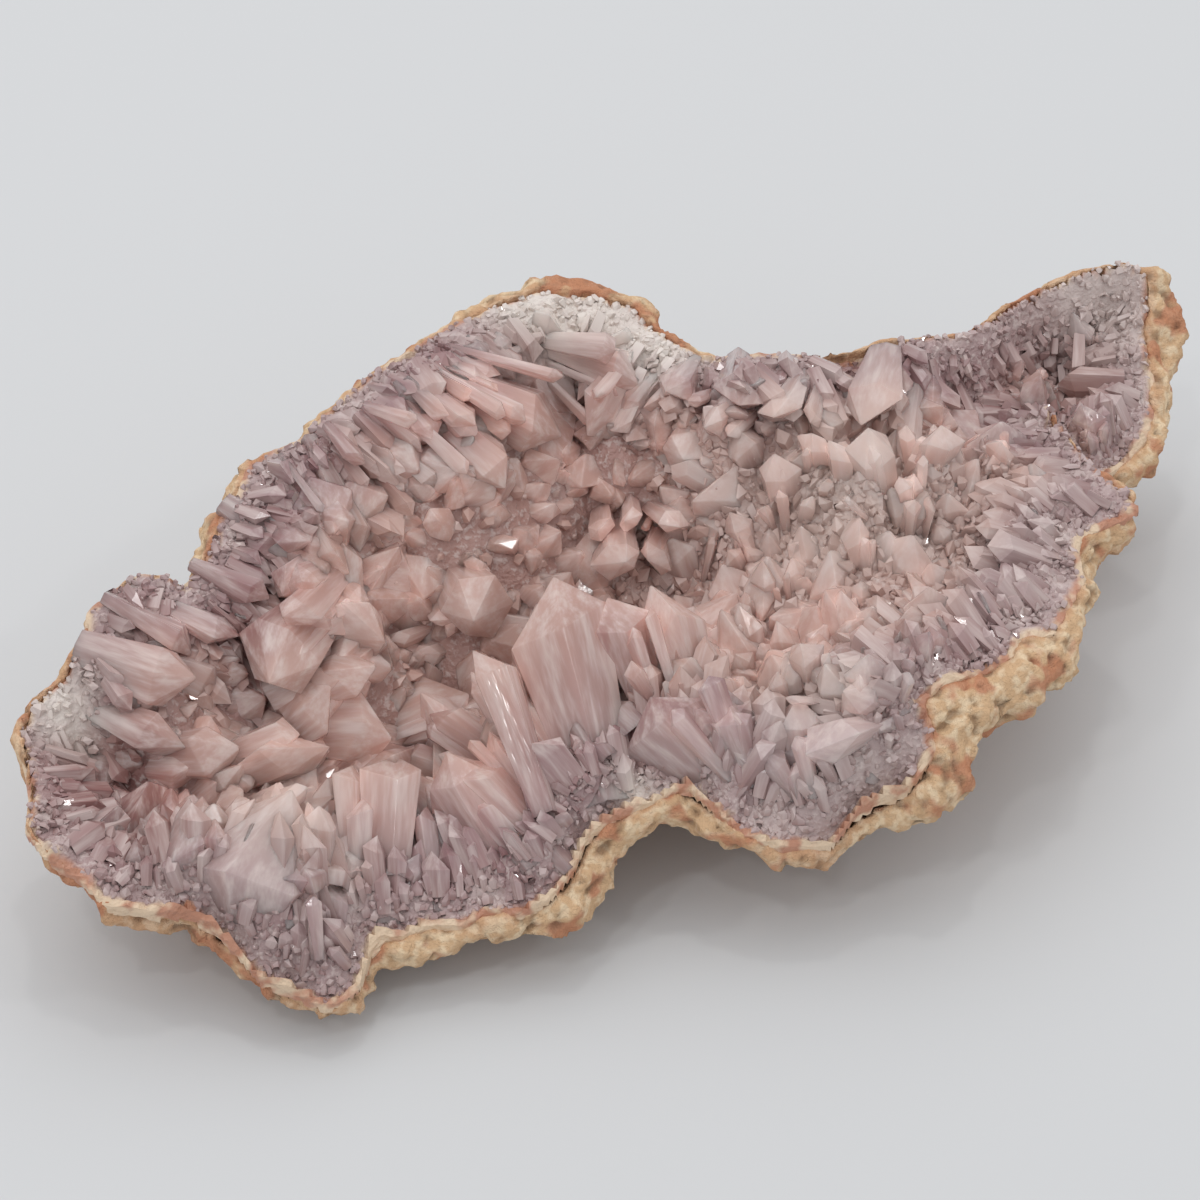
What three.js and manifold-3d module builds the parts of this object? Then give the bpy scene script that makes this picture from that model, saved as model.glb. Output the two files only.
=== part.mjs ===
// Pink amethyst geode, broken open and lying on its back: a lumpy rind of cream and rust coloured
// limestone, and the crust of amethyst crystals that lines its hollow.
// Millimetres, +Z up. The stone rests on a small flat patch under its middle, at height 0.

import * as THREE from "three";
import { mergeVertices } from "three/addons/utils/BufferGeometryUtils.js";
import { ImprovedNoise } from "three/addons/math/ImprovedNoise.js";
import Module from "manifold-3d";

const wasm = await Module();
wasm.setup();

// Driving dimensions, in millimetres.
const width = 176; // from the left tip to the end of the arm
const crustDepth = 5.4; // ground of the crust, under its crystals
const edgeDepth = 1.6; // the same at the rim
const gap = 0.3; // between the crust and the rind
const rindDepth = 2.4; // the rind at its thinnest
const rindLump = 1.5; // how far the rind's lumps stand out and in
const groundLump = 1.2; // the same for the ground between the crystals

// Places are read off a picture of the stone, as pixels across and down, and set at a real height
// over the table. The picture is square, and its eye looks along +Y and down at the aim point.
const picture = { middle: 600, focal: 2833, stoneAcross: 1183 };
const lookDown = THREE.MathUtils.degToRad(42);
const eyeDistance = (picture.focal * width) / picture.stoneAcross;
const aim = new THREE.Vector3(-6.7, -7.4, 32);
const forward = new THREE.Vector3(0, Math.cos(lookDown), -Math.sin(lookDown));
const upward = new THREE.Vector3(0, Math.sin(lookDown), Math.cos(lookDown));
const eye = aim.clone().addScaledVector(forward, -eyeDistance);

function sight(across, down) {
  return forward
    .clone()
    .add(new THREE.Vector3((across - picture.middle) / picture.focal, 0, 0))
    .addScaledVector(upward, (picture.middle - down) / picture.focal);
}

function place(across, down, height) {
  const ray = sight(across, down);
  return eye.clone().addScaledVector(ray, (height - eye.z) / ray.z);
}

// The edge where the crust meets the rind, clockwise from the left tip: pixels across and down,
// height, and how far the rind stands out beyond it.
const rim = [
  [22, 730, 30, 2], [38, 700, 32, 2.4], [62, 680, 33, 1.5], [76, 656, 35, 2], [90, 638, 36, 1.8],
  [93, 612, 37, 2], [118, 590, 38, 1.6], [142, 574, 39, 1.2], [166, 577, 39, 1.2],
  [188, 590, 38, 1.6], [205, 565, 39, 3], [216, 545, 40, 4.6], [222, 520, 41, 4.4],
  [240, 498, 42, 3.8], [250, 471, 43, 3.8], [275, 453, 44, 3.4], [303, 443, 45, 3.2],
  [322, 420, 46, 3.6], [350, 396, 47, 4], [374, 375, 48, 3.2], [406, 362, 48, 2.8],
  [426, 344, 49, 3], [455, 326, 49, 4], [500, 302, 50, 5], [540, 288, 50, 5.4],
  [590, 291, 49, 5.2], [632, 304, 48, 5], [652, 326, 47, 4.4], [680, 346, 45, 4],
  [704, 362, 43, 2.6], [748, 358, 43, 1], [797, 357, 43, 1], [850, 352, 42, 1.2],
  [885, 342, 42, 1.5], [925, 338, 41, 1.5], [963, 336, 40, 0.9], [994, 318, 40, 1.6],
  [1015, 302, 40, 2.2], [1055, 283, 41, 1.8], [1086, 270, 42, 1.5], [1124, 262, 42, 1.4],
  [1147, 274, 41, 6.4], [1146, 308, 37, 7.6], [1143, 344, 34, 6.4], [1149, 380, 31, 4],
  [1150, 410, 29, 3.4], [1140, 440, 27, 3.6], [1120, 464, 25, 2.4], [1098, 478, 25, 1.4],
  [1073, 458, 26, 1], [1056, 432, 28, 1], [1048, 407, 34, 1], [1064, 434, 37, 1.4],
  [1085, 459, 37, 2], [1102, 479, 37, 2.6], [1124, 493, 37, 2.2], [1133, 508, 36, 1.6],
  [1108, 522, 35, 2.8], [1078, 534, 35, 3.2], [1072, 551, 34, 3.2], [1080, 577, 33, 3],
  [1066, 603, 33, 3.6], [1051, 629, 32, 5], [1018, 635, 32, 6.5], [1005, 656, 31, 6.5],
  [978, 669, 31, 6], [940, 680, 32, 7], [914, 703, 31, 8], [926, 728, 29, 8],
  [929, 750, 27, 7], [916, 772, 25, 5.5], [904, 793, 22, 3.4], [875, 803, 21, 2.4],
  [850, 819, 20, 2], [828, 846, 18, 1.1], [780, 843, 19, 1.2], [745, 830, 20, 2.2],
  [716, 808, 21, 3], [688, 785, 22, 3.3], [662, 793, 22, 2.8], [638, 806, 21, 3],
  [605, 822, 20, 4.2], [582, 841, 18, 4.8], [568, 872, 16, 4.2], [548, 897, 14.5, 3.6],
  [518, 911, 13.5, 2.8], [482, 911, 13, 3], [456, 924, 12, 2.6], [428, 922, 12, 3.8],
  [400, 934, 11.5, 3], [371, 938, 11, 2.2], [362, 963, 10, 1.8], [352, 990, 9, 1.6],
  [326, 1003, 8.5, 1.4], [302, 992, 9, 1.1], [262, 976, 11, 1.2], [243, 955, 12.5, 1.2],
  [214, 926, 15, 1], [188, 908, 18, 0.9], [148, 908, 20, 1.1], [105, 897, 22, 1.1],
  [84, 872, 24, 1], [46, 846, 27, 0.9], [31, 824, 28, 0.9], [34, 792, 29, 0.9], [30, 764, 30, 1],
];

// The line along the middle of the hollow: pixels across and down, height of the crust's ground
// and height of the rind's underside there. An underside below 0 is worn flat at the table.
const spine = [
  [120, 775, 19, 10], [270, 775, 12, 4], [420, 720, 12, 0], [560, 620, 14, -2.5],
  [700, 600, 17, -2.5], [850, 560, 22, -0.5], [955, 470, 24, 3], [1060, 378, 27, 9],
  [1105, 335, 31, 14],
];

// Hills and hollows of the crust: pixels across and down, height, rise and radius.
const swells = [
  [860, 520, 30, 8, 17], [950, 500, 30, 5, 13], [720, 540, 24, 4, 12], [500, 600, 22, 4, 13],
  [330, 620, 26, 4, 12], [700, 730, 22, 4, 11], [830, 740, 22, 3, 11], [480, 400, 38, 3, 12],
  [250, 705, 20, -3, 6], [110, 785, 20, -2, 8], [575, 480, 24, -3, 9], [850, 405, 30, -3, 8],
  [1062, 392, 24, -3, 8],
];

// The crystals that stand out: pixels across and down of the tip, how far the tip stands over the
// foot, pixels across and down of the foot, and the radius.
const crystals = [
  // Long prisms on the back wall, leaning down into the hollow.
  [562, 424, -4, 446, 372, 5.2], [512, 484, -4, 424, 404, 4.4], [448, 492, -5, 372, 430, 3.2],
  [494, 516, -2, 388, 496, 3.6], [366, 548, -8, 318, 455, 3.8], [346, 578, -6, 284, 482, 3.2],
  [300, 560, -4, 236, 516, 3.4], [268, 604, -3, 206, 574, 3.6], [236, 642, -2, 176, 612, 3.2],
  [196, 650, -3, 122, 612, 3.6], [190, 688, 0, 96, 660, 4], [180, 752, 1, 96, 712, 4],
  [640, 378, 0, 560, 352, 3.8], [668, 398, 2, 690, 368, 3], [738, 404, 3, 742, 366, 3.6],
  [590, 436, -3, 628, 376, 4], [700, 428, 3, 742, 400, 3.4], [866, 418, 2, 880, 362, 4.2],
  [905, 455, 1, 916, 385, 3.6], [770, 420, 3, 800, 372, 3.4],
  // Stout peach crystals on the left of the hollow, ends towards the eye.
  [536, 498, 8, 500, 560, 4.8], [556, 570, 9, 530, 620, 5.4], [486, 622, 9, 452, 580, 5.6],
  [428, 572, 7, 440, 610, 3.6], [258, 668, 7, 330, 600, 6], [384, 632, 6, 322, 610, 4.4],
  [378, 668, 5, 446, 640, 4.6], 
  // The large crystal in the middle and its neighbours.
  [542, 589, 15, 602, 786, 7], [650, 584, 13, 690, 700, 6.2], [618, 594, 13, 650, 712, 4.4],
  [620, 566, 9, 618, 520, 4.6], [652, 566, 4, 668, 530, 3],
  [716, 500, 8, 700, 560, 4], [660, 446, 6, 716, 486, 5.6], [730, 506, 8, 750, 552, 3.4],
  [738, 604, 9, 756, 664, 4.4], 
  // Points on the hill at the right, standing up.
  [868, 431, 15, 888, 506, 4.2], [813, 433, 13, 822, 492, 2.4], [840, 438, 12, 846, 500, 3.2],
  [943, 426, 13, 926, 486, 3.4], [778, 455, 12, 786, 520, 3.2], [912, 470, 9, 908, 520, 3], [1000, 438, 8, 1000, 474, 2.6],
  [852, 520, 8, 858, 566, 3], [760, 560, 7, 772, 606, 2.8],
  // Pale crystals along the front edge, right of the middle.
  [640, 702, 9, 706, 772, 5.6], [722, 696, 9, 742, 768, 4.2], [786, 700, 9, 804, 776, 4.6],
  [800, 756, 3, 882, 726, 5], [868, 652, 10, 872, 712, 3.4], [804, 636, 9, 812, 690, 3.4],
  [846, 690, 7, 884, 716, 3.6], [920, 628, 7, 924, 664, 2.8],
  // Long prisms fanning up from the front edge, left of the middle.
  [508, 690, 9, 588, 794, 3.8], [482, 672, 10, 552, 800, 4.4], [466, 756, 8, 560, 858, 4.6],
  [440, 756, 9, 506, 868, 4.6], [396, 752, 11, 388, 908, 5.2], [346, 764, 9, 352, 886, 4.2],
  [424, 806, 6, 436, 898, 2.8], [470, 698, 6, 350, 742, 5.4], [414, 700, 6, 500, 762, 4.4],
  // The big pink crystal at the lower left and what stands round it.
  [268, 792, 15, 252, 902, 9.5], [330, 740, 9, 232, 790, 6], [172, 800, 9, 186, 872, 5.4],
  [318, 868, 7, 322, 938, 4.2], // Druse in the arm.
  [1044, 380, 6, 1024, 402, 3.6], [1086, 402, 5, 1090, 432, 3.2], [1074, 318, 5, 1080, 346, 3],
  
];

// The low crystals between them: distance from point to point on their net, how high their tips
// stand, how far the tips lean inwards, and how far in from the rim they reach their full size.
const druse = { step: 5.6, least: 1.6, most: 5, lean: 1.8, broken: 11, seed: 11 };

// How far along the way from rim to spine each ring stands, of the crust's and of the rind's
// underside.
const crustSteps = [0.12, 0.5, 0.93];
const rindSteps = [0.12, 0.5, 0.93];

const noise = new ImprovedNoise();

function rough(point, size, amount) {
  return amount * noise.noise(point.x / size, point.y / size, point.z / size);
}

function flatDistance(a, b) {
  return Math.hypot(a.x - b.x, a.y - b.y);
}

const spinePoints = spine.map(([across, down, ground, underside]) => ({
  at: place(across, down, ground),
  ground,
  underside: Math.max(underside, -3),
}));

// The nearest place on the spine, seen from above, with the heights there.
function nearestOnSpine(point) {
  const flat = new THREE.Vector3(point.x, point.y, 0);
  let best;
  for (let i = 0; i < spinePoints.length - 1; i++) {
    const a = spinePoints[i];
    const b = spinePoints[i + 1];
    const line = new THREE.Line3(a.at.clone().setZ(0), b.at.clone().setZ(0));
    const share = line.closestPointToPointParameter(flat, true);
    const at = line.at(share, new THREE.Vector3());
    const far = flatDistance(at, flat);
    if (!best || far < best.far) {
      const mix = (key) => THREE.MathUtils.lerp(a[key], b[key], share);
      best = { at, far, ground: mix("ground"), underside: mix("underside") };
    }
  }
  return best;
}

function swellAt(point) {
  return swells.reduce((sum, [across, down, height, rise, radius]) => {
    const far = flatDistance(place(across, down, height), point);
    return sum + rise * Math.exp(-((far / radius) ** 2));
  }, 0);
}

const edge = rim.map(([across, down, height]) => place(across, down, height));
const stations = edge.map((point, i) => {
  const before = edge.at(i - 1);
  const after = edge[(i + 1) % edge.length];
  const along = after.clone().sub(before);
  return {
    point,
    wall: rim[i][3],
    out: new THREE.Vector3(-along.y, along.x, 0).normalize(),
    spine: nearestOnSpine(point),
  };
});

// A ring of points, one for each station.
function ring(pointAt) {
  return stations.map(pointAt);
}

function towardsSpine(station, share, height) {
  const { point, spine: end } = station;
  return new THREE.Vector3(
    THREE.MathUtils.lerp(point.x, end.at.x, share),
    THREE.MathUtils.lerp(point.y, end.at.y, share),
    height,
  );
}

// The height of the crust's ground, which falls from the rim and levels out along the spine, and
// how far the place is from the rim.
function groundAt(point) {
  let [heights, weights] = [0, 0];
  let toRim = Infinity;
  for (const { point: rimPoint } of stations) {
    const far = Math.max(0.1, flatDistance(rimPoint, point));
    heights += rimPoint.z / far ** 4;
    weights += 1 / far ** 4;
    toRim = Math.min(toRim, far);
  }
  const middle = nearestOnSpine(point);
  const share = toRim / (toRim + middle.far);
  const fall = THREE.MathUtils.smoothstep(share, 0, 0.9);
  const height = THREE.MathUtils.lerp(heights / weights, middle.ground, fall);
  const lump = rough(new THREE.Vector3(point.x, point.y, 0), 11, 2 * groundLump);
  return { height: height + lump * Math.min(1, toRim / 8), toRim, middle };
}

// A point under the crust, or lower by a further drop.
function underCrust(station, share, drop) {
  const at = towardsSpine(station, share, 0);
  const depth = THREE.MathUtils.lerp(edgeDepth, crustDepth, Math.min(1, share / 0.2));
  return at.setZ(groundAt(at).height - depth - drop);
}

// The rind's outside: over the edge, down its lumpy wall and under to the spine.
function rindWall(station, outwards, down) {
  const at = station.point.clone().addScaledVector(station.out, station.wall * outwards);
  at.z -= down * Math.max(edgeDepth + rindDepth, Math.min(1.5 * station.wall, 8));
  const lump = rough(at, 5, rindLump) * Math.min(1, station.wall / 3);
  return at.addScaledVector(station.out, lump);
}

function undersidePoint(station, share) {
  const start = rindWall(station, 0.9, 1);
  const lowest = underCrust(station, share, gap + rindDepth);
  const at = towardsSpine(station, share, 0);
  at.addScaledVector(station.out, station.wall * (1 - share) ** 2);
  const steep = THREE.MathUtils.mapLinear(Math.max(station.point.z, 20), 20, 45, 1.3, 2.8);
  const depth = 1 - (1 - share) ** steep;
  at.z = THREE.MathUtils.lerp(start.z, station.spine.underside, depth);
  at.z = Math.min(at.z + rough(at, 11, rindLump * 2.2) * depth, lowest.z);
  return at.setZ(Math.max(0, at.z));
}

function cap(points, first, upward) {
  const outline = points.map((p) => new THREE.Vector2(p.x, p.y));
  const triangles = THREE.ShapeUtils.triangulateShape(outline, []);
  return triangles.flatMap(([a, b, c]) => {
    const area = THREE.ShapeUtils.area([outline[a], outline[b], outline[c]]);
    const turned = area > 0 === upward ? [a, b, c] : [a, c, b];
    return turned.map((i) => i + first);
  });
}

// A closed body through rings that run from the middle of its top, over its edge, to the middle of
// its underside.
function loft(rings) {
  const count = stations.length;
  const index = cap(rings[0], 0, true);
  for (let r = 0; r < rings.length - 1; r++) {
    for (let k = 0; k < count; k++) {
      const next = (k + 1) % count;
      const [a, b] = [r * count + k, r * count + next];
      const [c, d] = [a + count, b + count];
      index.push(a, b, c, b, d, c);
    }
  }
  index.push(...cap(rings.at(-1), (rings.length - 1) * count, false));
  const geometry = new THREE.BufferGeometry().setFromPoints(rings.flat());
  return geometry.setIndex(index);
}

function solidOf(geometry) {
  const bare = geometry.clone();
  bare.deleteAttribute("normal");
  bare.deleteAttribute("uv");
  const merged = mergeVertices(bare, 1e-3);
  const corners = merged.index.array;
  const kept = [];
  for (let i = 0; i < corners.length; i += 3) {
    const [a, b, c] = corners.slice(i, i + 3);
    if (a !== b && b !== c && c !== a) kept.push(a, b, c);
  }
  const mesh = new wasm.Mesh({
    numProp: 3,
    vertProperties: merged.attributes.position.array,
    triVerts: new Uint32Array(kept),
  });
  return new wasm.Manifold(mesh);
}

function geometryOf(solid) {
  const { vertProperties, triVerts } = solid.getMesh();
  return new THREE.BufferGeometry()
    .setAttribute("position", new THREE.BufferAttribute(vertProperties, 3))
    .setIndex(new THREE.BufferAttribute(triVerts, 1));
}

// A six-sided quartz prism with a pointed end, from foot to tip.
function crystal(foot, tip, radius, spin) {
  const axis = tip.clone().sub(foot);
  const length = axis.length();
  const point = Math.min(1.2 * radius, 0.5 * length);
  const profile = [
    [0, 0],
    [0.75 * radius, 0],
    [radius, length - point - 0.2 * radius],
    [0, length],
  ].map(([x, y]) => new THREE.Vector2(x, y));
  const turn = new THREE.Quaternion().setFromUnitVectors(
    new THREE.Vector3(0, 1, 0),
    axis.normalize(),
  );
  return new THREE.LatheGeometry(profile, 6, spin)
    .applyQuaternion(turn)
    .translate(foot.x, foot.y, foot.z);
}

function randomFrom(seed) {
  let state = seed;
  return () => {
    state = (state * 16807) % 2147483647;
    return state / 2147483647;
  };
}

function buildRind() {
  const lining = [...crustSteps].reverse().map((share) =>
    ring((s) => underCrust(s, share, gap)),
  );
  return loft([
    ...lining,
    ring((s) => s.point.clone().setZ(s.point.z - edgeDepth - gap)),
    ring((s) => s.point.clone()),
    ring((s) => rindWall(s, 0.5, 0)),
    ring((s) => rindWall(s, 1, 0.4)),
    ring((s) => rindWall(s, 0.9, 1)),
    ...rindSteps.map((share) => ring((s) => undersidePoint(s, share))),
  ]);
}

// A net of triangles over the whole stone in which every third point is a tip, closed below.
function buildDruse() {
  const random = randomFrom(druse.seed);
  const box = new THREE.Box3().setFromPoints(edge).expandByScalar(druse.step);
  const rowStep = (druse.step * Math.sqrt(3)) / 2;
  const columns = Math.ceil((box.max.x - box.min.x) / druse.step) + 2;
  const rows = Math.ceil((box.max.y - box.min.y) / rowStep) + 1;
  const points = [];
  const index = [];
  for (let j = 0; j < rows; j++) {
    const odd = j % 2;
    for (let i = 0; i < columns; i++) {
      const isTip = (((i - (j - odd) / 2 - j) % 3) + 3) % 3 === 0;
      points.push(drusePoint(box, i + odd / 2 - 0.5, j, rowStep, isTip, random));
      if (i === columns - 1 || j === rows - 1) continue;
      const a = j * columns + i;
      const [b, c, d] = [a + 1, a + columns, a + columns + 1];
      if (odd) index.push(a, b, d, a, d, c);
      else index.push(a, b, c, b, d, c);
    }
  }
  return closedBelow(points, index);
}

function drusePoint(box, column, row, rowStep, isTip, random) {
  const shift = () => (random() - 0.5) * 0.45 * druse.step;
  const at = new THREE.Vector3(
    box.min.x + column * druse.step + shift(),
    box.min.y + row * rowStep + shift(),
    0,
  );
  const { height, toRim, middle } = groundAt(at);
  const grown = THREE.MathUtils.smoothstep(toRim, 0, druse.broken);
  if (isTip) {
    const inwards = middle.at.clone().sub(at).setZ(0).normalize();
    at.addScaledVector(inwards, druse.lean * grown);
    at.z = THREE.MathUtils.lerp(druse.least, druse.most, random()) * grown;
  }
  at.z += height + swellAt(at) * grown;
  return at;
}

// Walls and a floor under an open surface.
function closedBelow(points, index) {
  const count = points.length;
  const floor = Math.min(...points.map((p) => p.z)) - 30;
  const edges = new Set();
  for (let t = 0; t < index.length; t += 3) {
    for (let k = 0; k < 3; k++) edges.add(`${index[t + k]} ${index[t + ((k + 1) % 3)]}`);
  }
  const whole = [...index];
  for (let t = 0; t < index.length; t += 3) {
    whole.push(index[t] + count, index[t + 2] + count, index[t + 1] + count);
    for (let k = 0; k < 3; k++) {
      const [a, b] = [index[t + k], index[t + ((k + 1) % 3)]];
      if (edges.has(`${b} ${a}`)) continue;
      whole.push(b, a, a + count, b, a + count, b + count);
    }
  }
  const below = points.map((p) => p.clone().setZ(floor));
  return new THREE.BufferGeometry().setFromPoints([...points, ...below]).setIndex(whole);
}

// Everything between the crust's underside and well over its crystals.
function buildRoom() {
  const inset = (s, height) => s.point.clone().addScaledVector(s.out, -gap).setZ(height);
  return loft([
    ring((s) => inset(s, 90)),
    ring((s) => inset(s, s.point.z - edgeDepth)),
    ...crustSteps.map((share) => ring((s) => underCrust(s, share, 0))),
  ]);
}

function mainCrystals(ground) {
  const ray = new THREE.Raycaster();
  return crystals.map(([tipX, tipY, rise, footX, footY, radius], i) => {
    ray.set(eye, sight(footX, footY).normalize());
    const [hit] = ray.intersectObject(ground);
    if (!hit) throw new Error(`crystal ${i} has its foot off the crust`);
    const tip = place(tipX, tipY, hit.point.z + rise);
    return crystal(hit.point, tip, radius, i);
  });
}

function buildCrust() {
  const druseGeometry = buildDruse();
  const ground = new THREE.Mesh(druseGeometry);
  const body = solidOf(druseGeometry).intersect(solidOf(buildRoom()));
  return mainCrystals(ground).map(solidOf).reduce((whole, one) => whole.add(one), body);
}

function named(name, geometry, color, roughness) {
  const material = new THREE.MeshStandardMaterial({ color, roughness, metalness: 0 });
  const mesh = new THREE.Mesh(geometry, material);
  mesh.name = name;
  return mesh;
}

// The largest body of a solid, without the pockets that crystals close off between them.
function soundPart(solid) {
  const bodies = solid.decompose();
  return bodies.reduce((best, body) => (body.volume() > best.volume() ? body : best));
}

const rindSolid = solidOf(buildRind());
const crustSolid = soundPart(buildCrust().subtract(rindSolid).simplify(0.2));

const geode = new THREE.Group();
geode.add(
  named("rind", geometryOf(rindSolid), 0xcbb088, 0.95),
  named("crystal_crust", geometryOf(crustSolid), 0xc59d96, 0.3),
);

export default geode;
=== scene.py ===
import math
import random

import bpy
import numpy as np
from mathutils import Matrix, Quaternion, Vector, noise


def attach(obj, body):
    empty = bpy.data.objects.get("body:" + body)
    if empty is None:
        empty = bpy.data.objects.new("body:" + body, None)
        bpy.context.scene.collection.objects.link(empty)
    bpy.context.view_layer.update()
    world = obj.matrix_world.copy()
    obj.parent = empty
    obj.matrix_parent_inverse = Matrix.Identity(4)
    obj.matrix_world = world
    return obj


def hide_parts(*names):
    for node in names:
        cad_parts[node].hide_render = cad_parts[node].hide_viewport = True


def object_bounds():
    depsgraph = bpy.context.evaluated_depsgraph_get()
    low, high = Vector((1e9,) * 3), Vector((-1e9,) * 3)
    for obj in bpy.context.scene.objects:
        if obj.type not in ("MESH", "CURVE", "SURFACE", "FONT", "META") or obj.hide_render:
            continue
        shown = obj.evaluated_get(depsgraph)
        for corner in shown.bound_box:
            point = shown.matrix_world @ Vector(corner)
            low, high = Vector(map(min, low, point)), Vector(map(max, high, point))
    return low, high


mm = 0.001

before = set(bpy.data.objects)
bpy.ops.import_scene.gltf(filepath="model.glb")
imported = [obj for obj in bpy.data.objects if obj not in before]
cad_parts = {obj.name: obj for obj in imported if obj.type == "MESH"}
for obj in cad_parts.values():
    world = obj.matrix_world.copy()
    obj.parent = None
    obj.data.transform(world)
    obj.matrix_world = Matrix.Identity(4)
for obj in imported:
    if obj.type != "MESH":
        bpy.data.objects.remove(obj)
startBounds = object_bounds()
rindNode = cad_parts["rind"]


def smooth(value, low, high):
    share = np.clip((value - low) / (high - low), 0, 1)
    return share * share * (3 - 2 * share)


def blend(a, b, share):
    return a + (b - a) * share


def addMesh(name, points, faces):
    mesh = bpy.data.meshes.new(name)
    mesh.from_pydata([tuple(p) for p in points], [], faces)
    mesh.update()
    obj = bpy.data.objects.new(name, mesh)
    bpy.context.collection.objects.link(obj)
    return obj


def writeValues(obj, name, values):
    # One number at each point of a mesh, which its finish reads by name.
    layer = obj.data.attributes.new(name, "FLOAT", "POINT")
    layer.data.foreach_set("value", np.asarray(values, dtype=np.float32))


# The camera looks along +Y and down at the stone. Places on the stone are given as they stand in
# its picture, a square of 1200 pixels: pixels across and down, with a height over the table.
view = {
    "side": 1200,  # of the picture
    "middle": 600,
    "focal": 2833,  # the focal length, in pixels
    "sensor": 36,  # mm
    "lookDown": math.radians(42),
    "distance": 176 * 2833 / 1183 * mm,  # the stone is 176 mm wide and 1183 pixels across
    "aim": Vector((-6.7, -7.4, 32)) * mm,
}
forward = Vector((0, math.cos(view["lookDown"]), -math.sin(view["lookDown"])))
upward = Vector((0, math.sin(view["lookDown"]), math.cos(view["lookDown"])))
eye = view["aim"] - forward * view["distance"]


def sight(across, down):
    ray = forward.copy()
    ray.x += (across - view["middle"]) / view["focal"]
    return ray + upward * ((view["middle"] - down) / view["focal"])


def place(across, down, height):
    ray = sight(across, down)
    return eye + ray * ((height - eye.z) / ray.z)


cameraData = bpy.data.cameras.new("camera")
cameraData.sensor_width = view["sensor"]
cameraData.lens = view["sensor"] * view["focal"] / view["side"]
camera = bpy.data.objects.new("camera", cameraData)
camera.location = eye
camera.rotation_euler = (math.pi / 2 - view["lookDown"], 0, 0)
bpy.context.collection.objects.link(camera)
bpy.context.scene.camera = camera
print("camera")


# The edge where the crust meets the rind, clockwise from the left tip: pixels across and down, and
# height in mm.
rim = [
    (22, 730, 30), (38, 700, 32), (62, 680, 33), (76, 656, 35), (90, 638, 36), (93, 612, 37),
    (118, 590, 38), (142, 574, 39), (166, 577, 39), (188, 590, 38), (205, 565, 39),
    (216, 545, 40), (222, 520, 41), (240, 498, 42), (250, 471, 43), (275, 453, 44),
    (303, 443, 45), (322, 420, 46), (350, 396, 47), (374, 375, 48), (406, 362, 48),
    (426, 344, 49), (455, 326, 49), (500, 302, 50), (540, 288, 50), (590, 291, 49),
    (632, 304, 48), (652, 326, 47), (680, 346, 45), (704, 362, 43), (748, 358, 43),
    (797, 357, 43), (850, 352, 42), (885, 342, 42), (925, 338, 41), (963, 336, 40),
    (994, 318, 40), (1015, 302, 40), (1055, 283, 41), (1086, 270, 42), (1124, 262, 42),
    (1147, 274, 41), (1146, 308, 37), (1143, 344, 34), (1149, 380, 31), (1150, 410, 29),
    (1140, 440, 27), (1120, 464, 25), (1098, 478, 25), (1073, 458, 26), (1056, 432, 28),
    (1048, 407, 34), (1064, 434, 37), (1085, 459, 37), (1102, 479, 37), (1124, 493, 37),
    (1133, 508, 36), (1108, 522, 35), (1078, 534, 35), (1072, 551, 34), (1080, 577, 33),
    (1066, 603, 33), (1051, 629, 32), (1018, 635, 32), (1005, 656, 31), (978, 669, 31),
    (940, 680, 32), (914, 703, 31), (926, 728, 29), (929, 750, 27), (916, 772, 25),
    (904, 793, 22), (875, 803, 21), (850, 819, 20), (828, 846, 18), (780, 843, 19),
    (745, 830, 20), (716, 808, 21), (688, 785, 22), (662, 793, 22), (638, 806, 21),
    (605, 822, 20), (582, 841, 18), (568, 872, 16), (548, 897, 14.5), (518, 911, 13.5),
    (482, 911, 13), (456, 924, 12), (428, 922, 12), (400, 934, 11.5), (371, 938, 11),
    (362, 963, 10), (352, 990, 9), (326, 1003, 8.5), (302, 992, 9), (262, 976, 11),
    (243, 955, 12.5), (214, 926, 15), (188, 908, 18), (148, 908, 20), (105, 897, 22),
    (84, 872, 24), (46, 846, 27), (31, 824, 28), (34, 792, 29), (30, 764, 30),
]

# The line along the middle of the hollow: pixels across and down, and height of the ground in mm.
spine = [
    (120, 775, 19), (270, 775, 12), (420, 720, 12), (560, 620, 14), (700, 600, 17),
    (850, 560, 22), (955, 470, 24), (1060, 378, 27), (1105, 335, 31),
]

# Hills and hollows: pixels across and down, height, rise and radius in mm.
swells = [
    (860, 520, 30, 8, 17), (950, 500, 30, 5, 13), (720, 540, 24, 4, 12), (500, 600, 22, 4, 13),
    (330, 620, 26, 4, 12), (700, 730, 22, 4, 11), (830, 740, 22, 3, 11), (480, 400, 38, 3, 12),
    (250, 705, 20, -3, 6), (110, 785, 20, -2, 8), (575, 480, 24, -3, 9), (850, 405, 30, -3, 8),
    (1062, 392, 24, -3, 8),
]

# A plan of the stone on a fine grid: where the crust is, how far each place is from its rim, the
# way inwards, and the height of the ground that the crystals stand on.
plan = {
    "step": 0.8 * mm,  # from one place of the grid to the next
    "lump": 11 * mm,  # size and rise of the ground's lumps, and where they reach it
    "lumpRise": 1.2 * mm,
    "lumpFrom": 8 * mm,
    "swellFrom": 11 * mm,  # how far in from the rim hills and hollows reach their full height
    "wall": 0.9,  # share of the way from rim to middle that the wall takes
    "rimFill": 0.2 * mm,  # raise of the ground at the rim, and further in
    "fill": 2.4 * mm,
    "fillBetween": (1 * mm, 9 * mm),
}

low, high = [np.array(side) for side in startBounds]
margin = 3 * plan["step"]  # round the stone
xs = np.arange(low[0] - margin, high[0] + margin, plan["step"])
ys = np.arange(low[1] - margin, high[1] + margin, plan["step"])
gridX, gridY = np.meshgrid(xs, ys)


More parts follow.
